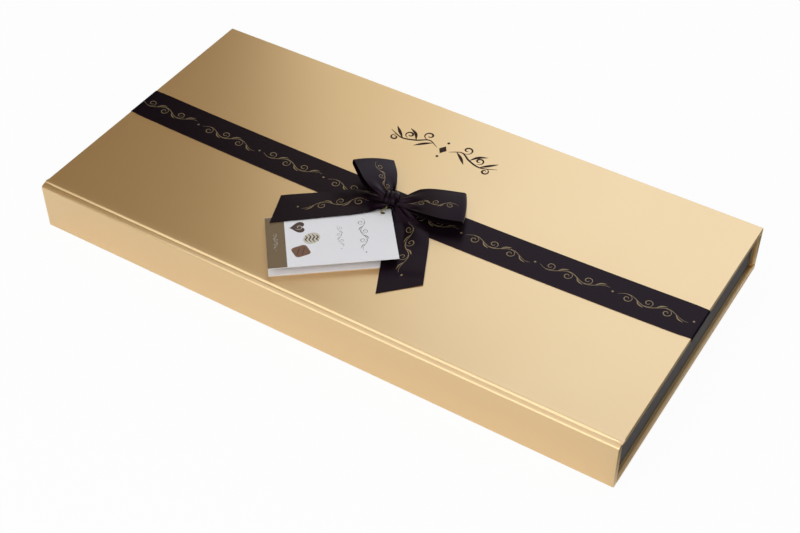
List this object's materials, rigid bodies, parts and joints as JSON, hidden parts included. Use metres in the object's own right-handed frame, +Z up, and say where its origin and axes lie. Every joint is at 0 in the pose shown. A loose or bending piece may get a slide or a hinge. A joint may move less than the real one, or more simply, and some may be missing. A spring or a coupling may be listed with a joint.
{
  "type": "chocolate box",
  "caption": "Flat rigid gift box of chocolates in gold paper, with a hinged lid, a magnetic front flap, a ribbon band with a bow and a folded tag.",
  "frame": {"origin": "middle of the case's underside, on the table", "axes": "+X along the case to the right as seen from the flap, +Y from the front flap to the spine, +Z up out of the lid"},
  "size_m": [0.3656, 0.183, 0.0445],
  "materials": {
    "greyboard": "matt grey pulp board",
    "gold_paper": "satin metallic gold wrap",
    "lining_paper": "satin gold-brown lining",
    "tray_paper": "matt dark grey wrap",
    "ribbon_satin": "dark aubergine satin ribbon with gold print",
    "ribbon_tape": "clear matt adhesive tape",
    "tag_card": "smooth white card with a brown printed band",
    "tag_cord": "twisted gold cord",
    "insert_plastic": "glossy bronze thermoformed sheet",
    "pad_paper": "embossed gold-brown paper over a thin pad",
    "milk_chocolate": "satin milk chocolate",
    "dark_chocolate": "glossy dark chocolate",
    "white_chocolate": "satin white chocolate",
    "magnet_metal": "nickel plated magnet",
    "catch_steel": "plain steel plate"
  },
  "bodies": {
    "case": {"base_board": "greyboard", "base_wrap": "gold_paper", "base_liner": "lining_paper", "base_crease": "gold_paper", "spine_board": "greyboard", "spine_wrap": "gold_paper", "spine_liner": "lining_paper", "lid_crease": "gold_paper", "tray_floor": "greyboard", "tray_floor_paper": "tray_paper", "tray_front_wall": "greyboard", "tray_back_wall": "greyboard", "tray_left_wall": "greyboard", "tray_right_wall": "greyboard", "tray_corner_stays": "ribbon_tape", "tray_wrap": "tray_paper", "catch_plates": "catch_steel", "insert_tray": "insert_plastic", "square_pralines": "milk_chocolate", "round_truffles": "white_chocolate", "heart_pralines": "dark_chocolate", "rosette_pralines": "milk_chocolate", "oblong_pralines": "dark_chocolate"},
    "lid": {"lid_board": "greyboard", "lid_wrap": "gold_paper", "lid_liner": "lining_paper", "flap_crease": "gold_paper", "lid_pad": "pad_paper", "ribbon_band": "ribbon_satin", "ribbon_tapes": "ribbon_tape", "bow_knot": "ribbon_satin", "bow_left_loop": "ribbon_satin", "bow_right_loop": "ribbon_satin", "bow_front_tail": "ribbon_satin", "bow_left_tail": "ribbon_satin", "gift_tag": "tag_card", "tag_string": "tag_cord"},
    "flap": {"flap_board": "greyboard", "flap_wrap": "gold_paper", "flap_liner": "lining_paper", "flap_magnets": "magnet_metal"}
  },
  "joints": [
    {"name": "lid_hinge", "type": "hinge", "parent": "case", "child": "lid", "pos_m": [0, 0.09165, 0.02763], "axis": [-1, 0, 0], "range_deg": [0, 180], "deforming": ["lid_crease"]},
    {"name": "flap_hinge", "type": "hinge", "parent": "lid", "child": "flap", "pos_m": [0, -0.08705, 0.0304], "axis": [-1, 0, 0], "range_deg": [0, 105], "deforming": ["flap_crease"]}
  ]
}
